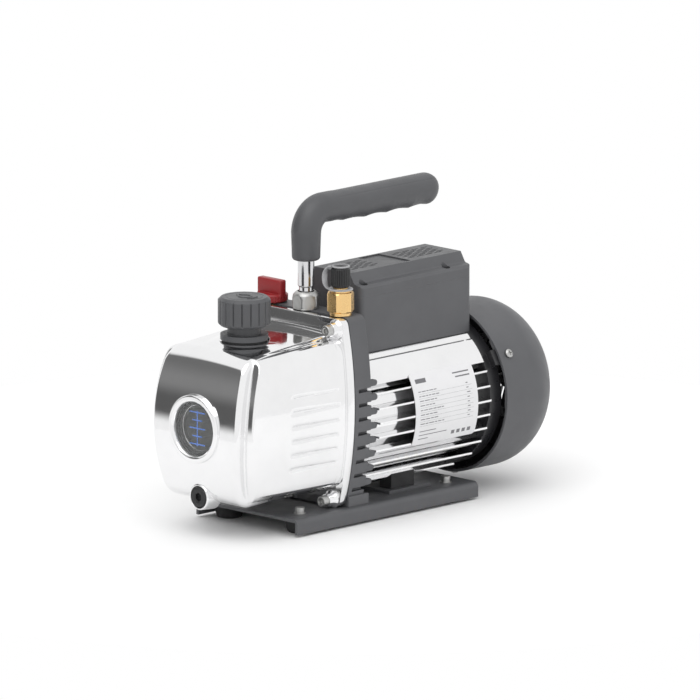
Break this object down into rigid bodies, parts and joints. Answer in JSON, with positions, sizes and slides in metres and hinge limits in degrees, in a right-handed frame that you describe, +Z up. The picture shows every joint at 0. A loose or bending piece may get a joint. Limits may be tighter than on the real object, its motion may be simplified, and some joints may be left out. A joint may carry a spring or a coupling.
{
  "type": "rotary vane vacuum pump",
  "caption": "Portable rotary vane vacuum pump: polished oil tank with sight glass, finned motor with round fan cover, terminal box, inlet fitting and carrying handle on a sheet metal base.",
  "frame": {"origin": "on the floor, under the centre of the pump's bounding box", "axes": "+X along the shaft towards the fan, -X the sight glass front, -Y the nameplate side, +Z up"},
  "size_m": [0.334, 0.1282, 0.2418],
  "materials": {
    "grey_enamel": "satin grey enamel",
    "rubber": "matt moulded rubber",
    "zinc_steel": "bright zinc plate",
    "polished_aluminium": "polished casting and extrusion",
    "gasket_paper": "pressed gasket sheet",
    "clear_glass": "clear",
    "level_print": "printed blue",
    "black_plastic": "moulded black",
    "grey_plastic": "moulded grey",
    "pump_iron": "ground iron",
    "vane_composite": "pressed composite",
    "spring_steel": "spring steel",
    "ground_steel": "ground",
    "rotor_core": "cast cage over laminations",
    "laminated_steel": "stacked sheets",
    "copper_wire": "enamelled wire",
    "black_enamel": "satin black",
    "label": "white film",
    "black_screws": "black oxide",
    "capacitor_can": "sleeved can",
    "switch_red": "moulded red",
    "chrome_steel": "bright chrome",
    "brass": "bright brass",
    "strap_grey": "soft grey plastic"
  },
  "bodies": {
    "pump_body": {"base_plate": "grey_enamel", "rubber_feet": "rubber", "foot_screws": "zinc_steel", "bracket_screws": "zinc_steel", "motor_rest_strip": "grey_enamel", "motor_rest_pads": "rubber", "pump_bracket": "grey_enamel", "tank_gasket": "gasket_paper", "oil_tank": "polished_aluminium", "tank_bolts": "zinc_steel", "sight_glass": "clear_glass", "sight_glass_seal": "rubber", "oil_level_scale": "level_print", "filler_neck": "grey_plastic", "filler_neck_seal": "rubber", "pump_rear_plate": "pump_iron", "pump_cylinder": "pump_iron", "pump_front_plate": "pump_iron", "pump_screws": "zinc_steel", "discharge_reed": "spring_steel", "discharge_stop": "spring_steel", "discharge_screws": "zinc_steel", "shaft_seal": "rubber", "front_bearing": "ground_steel", "rear_bearing": "ground_steel", "stator_core": "laminated_steel", "stator_windings": "copper_wire", "motor_frame": "polished_aluminium", "rear_end_bell": "black_enamel", "tie_rods": "zinc_steel", "fan_cover": "grey_enamel", "fan_cover_screws": "zinc_steel", "nameplate": "label", "terminal_box": "grey_enamel", "terminal_box_lid": "grey_enamel", "lid_screws": "black_screws", "capacitor": "capacitor_can", "mains_inlet": "black_plastic", "power_switch_frame": "black_plastic", "handle_rod": "chrome_steel", "handle_nut": "chrome_steel", "handle_grip": "grey_plastic", "inlet_fitting": "brass", "inlet_cap_strap": "strap_grey", "gas_ballast_valve": "brass"},
    "shaft_line": {"motor_shaft": "ground_steel", "motor_rotor": "rotor_core", "drive_key": "ground_steel", "pump_rotor": "pump_iron", "vanes": "vane_composite", "vane_springs": "spring_steel", "cooling_fan": "black_plastic"},
    "filler_cap_lift_body": {"filler_cap_seal": "rubber"},
    "filler_cap_body": {"filler_cap": "grey_plastic"},
    "inlet_cap_lift_body": {"inlet_cap_gasket": "brass"},
    "inlet_cap_body": {"inlet_cap": "black_plastic"},
    "drain_plug_lift_body": {"drain_plug_seal": "rubber"},
    "drain_plug_body": {"drain_plug": "black_plastic"},
    "ballast_knob_body": {"gas_ballast_knob": "switch_red"},
    "switch_rocker_body": {"power_switch_rocker": "switch_red"}
  },
  "joints": [
    {"name": "shaft_spin", "type": "hinge", "parent": "pump_body", "child": "shaft_line", "pos_m": [0, 0, 0.0747], "axis": [1, 0, 0], "continuous": true},
    {"name": "filler_cap_lift", "type": "slide", "parent": "pump_body", "child": "filler_cap_lift_body", "axis": [0, 0, 1], "range_m": [0, 0.009]},
    {"name": "filler_cap_turn", "type": "hinge", "parent": "filler_cap_lift_body", "child": "filler_cap_body", "pos_m": [-0.1124, 0, 0.16], "axis": [0, 0, 1], "range_deg": [0, 1082]},
    {"name": "inlet_cap_lift", "type": "slide", "parent": "pump_body", "child": "inlet_cap_lift_body", "axis": [0, 0, 1], "range_m": [0, 0.00508], "deforming": ["inlet_cap_strap"]},
    {"name": "inlet_cap_turn", "type": "hinge", "parent": "inlet_cap_lift_body", "child": "inlet_cap_body", "pos_m": [-0.0476, -0.036, 0.185], "axis": [0, 0, 1], "range_deg": [0, 1442]},
    {"name": "drain_plug_lift", "type": "slide", "parent": "pump_body", "child": "drain_plug_lift_body", "axis": [-1, 0, 0], "range_m": [0, 0.0075]},
    {"name": "drain_plug_turn", "type": "hinge", "parent": "drain_plug_lift_body", "child": "drain_plug_body", "pos_m": [-0.158, 0, 0.0308], "axis": [-1, 0, 0], "range_deg": [0, 1802]},
    {"name": "ballast_knob_turn", "type": "hinge", "parent": "pump_body", "child": "ballast_knob_body", "pos_m": [-0.0476, 0.036, 0.165], "axis": [0, 0, 1], "range_deg": [0, 180]},
    {"name": "switch_rock", "type": "hinge", "parent": "pump_body", "child": "switch_rocker_body", "pos_m": [0.093, 0.017, 0.152], "axis": [0, -1, 0], "range_deg": [0, 16]}
  ],
  "couplings": [
    {"joint": "filler_cap_turn", "follows": "filler_cap_lift", "rad_per_m": 2094.4},
    {"joint": "inlet_cap_turn", "follows": "inlet_cap_lift", "rad_per_m": 4947.4},
    {"joint": "drain_plug_turn", "follows": "drain_plug_lift", "rad_per_m": 4188.8}
  ]
}
